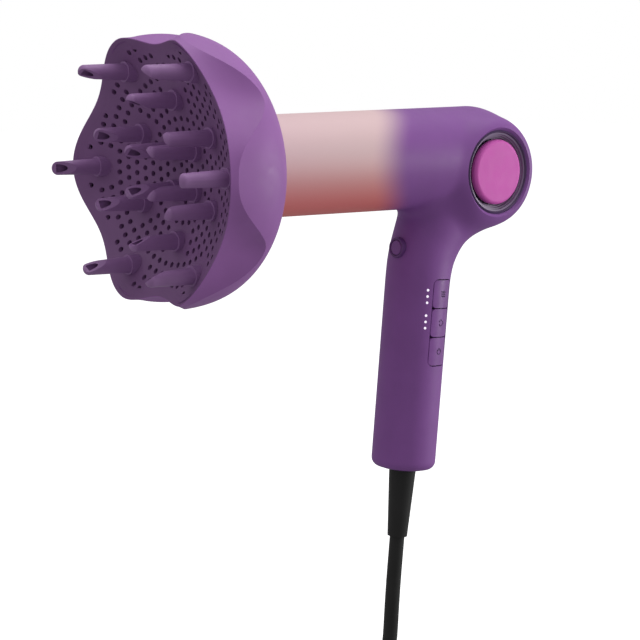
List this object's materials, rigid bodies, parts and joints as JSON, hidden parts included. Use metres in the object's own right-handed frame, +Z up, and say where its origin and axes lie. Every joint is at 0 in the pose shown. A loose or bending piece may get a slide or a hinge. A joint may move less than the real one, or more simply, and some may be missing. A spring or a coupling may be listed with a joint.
{
  "type": "hair dryer with diffuser",
  "caption": "Pistol-grip hair dryer with its scalloped bowl diffuser fitted: round barrel, cross-wise pod with side air inlets, raked handle with keys, and a coiled mains lead.",
  "frame": {"origin": "on the handle's own axis in the middle of the grip", "axes": "+Z up, -Y the way the air leaves the barrel and the diffuser faces, +X the side with the speed and heat keys"},
  "size_m": [0.1965, 0.282, 0.4257],
  "materials": {
    "housing_paint": "satin purple paint that fades to pale pink at the outlet",
    "trim_purple": "satin",
    "key_purple": "satin",
    "diffuser_outer": "matte",
    "diffuser_inner": "matte",
    "diffuser_prong": "matte",
    "inlet_dark": "satin",
    "inlet_mesh": "satin",
    "disc_pink": "satin",
    "lamp_white": "clear",
    "board_green": "matte",
    "switch_black": "matte",
    "inner_black": "matte",
    "mica": "matte",
    "heater_wire": "drawn",
    "steel": "brushed",
    "fan_grey": "satin",
    "seal_rubber": "matte",
    "cord_black": "satin",
    "tie_black": "woven",
    "plug_black": "satin",
    "pin_metal": "polished"
  },
  "bodies": {
    "dryer": {"housing": "housing_paint", "inlet_ring_left": "inlet_dark", "inlet_ring_right": "inlet_dark", "inlet_mesh_left": "inlet_mesh", "inlet_mesh_right": "inlet_mesh", "inlet_disc_left": "disc_pink", "inlet_disc_right": "disc_pink", "circuit_board": "board_green", "button_switches": "switch_black", "indicator_lamps": "lamp_white", "cool_shot_bezel": "trim_purple", "cool_shot_switch": "switch_black", "outlet_grille": "inner_black", "heater_liner": "mica", "heater_frame": "mica", "heater_wires": "heater_wire", "thermal_cutout": "steel", "ion_emitter": "inner_black", "fan_duct": "inner_black", "motor": "steel", "handle_foot_cap": "trim_purple", "strain_relief": "cord_black", "cord_tube": "cord_black", "cord_coil": "cord_black", "cord_tie": "tie_black", "plug_lead": "cord_black", "plug_body": "plug_black", "plug_pins": "pin_metal"},
    "heat_button": {"heat_button": "key_purple"},
    "speed_button": {"speed_button": "key_purple"},
    "power_button": {"power_button": "key_purple"},
    "cool_shot_button": {"cool_shot_button": "key_purple"},
    "fan": {"fan": "fan_grey"},
    "coupling": {"coupling_sleeve": "diffuser_inner", "coupling_seal": "seal_rubber"},
    "diffuser": {"diffuser_bowl": "diffuser_outer", "diffuser_plate": "diffuser_inner", "diffuser_prongs": "diffuser_prong", "diffuser_retainer": "inner_black"}
  },
  "joints": [
    {"name": "heat_press", "type": "slide", "parent": "dryer", "child": "heat_button", "axis": [-0.9781, -0.207, 0.0196], "range_m": [0, 0.0008], "stiffness_N_per_m": 900},
    {"name": "speed_press", "type": "slide", "parent": "dryer", "child": "speed_button", "axis": [-0.9781, -0.207, 0.0196], "range_m": [0, 0.0008], "stiffness_N_per_m": 900},
    {"name": "power_press", "type": "slide", "parent": "dryer", "child": "power_button", "axis": [-0.9781, -0.207, 0.0196], "range_m": [0, 0.0008], "stiffness_N_per_m": 900},
    {"name": "cool_shot_press", "type": "slide", "parent": "dryer", "child": "cool_shot_button", "axis": [0, 0.9956, -0.0941], "range_m": [0, 0.0008], "stiffness_N_per_m": 900},
    {"name": "fan_spin", "type": "hinge", "parent": "dryer", "child": "fan", "pos_m": [0, -0.003, 0.1], "axis": [0, 1, 0], "continuous": true},
    {"name": "diffuser_pull", "type": "slide", "parent": "dryer", "child": "coupling", "axis": [0, -1, 0], "range_m": [0, 0.04]},
    {"name": "diffuser_turn", "type": "hinge", "parent": "coupling", "child": "diffuser", "pos_m": [0, -0.134, 0.1], "axis": [0, 1, 0], "continuous": true}
  ]
}
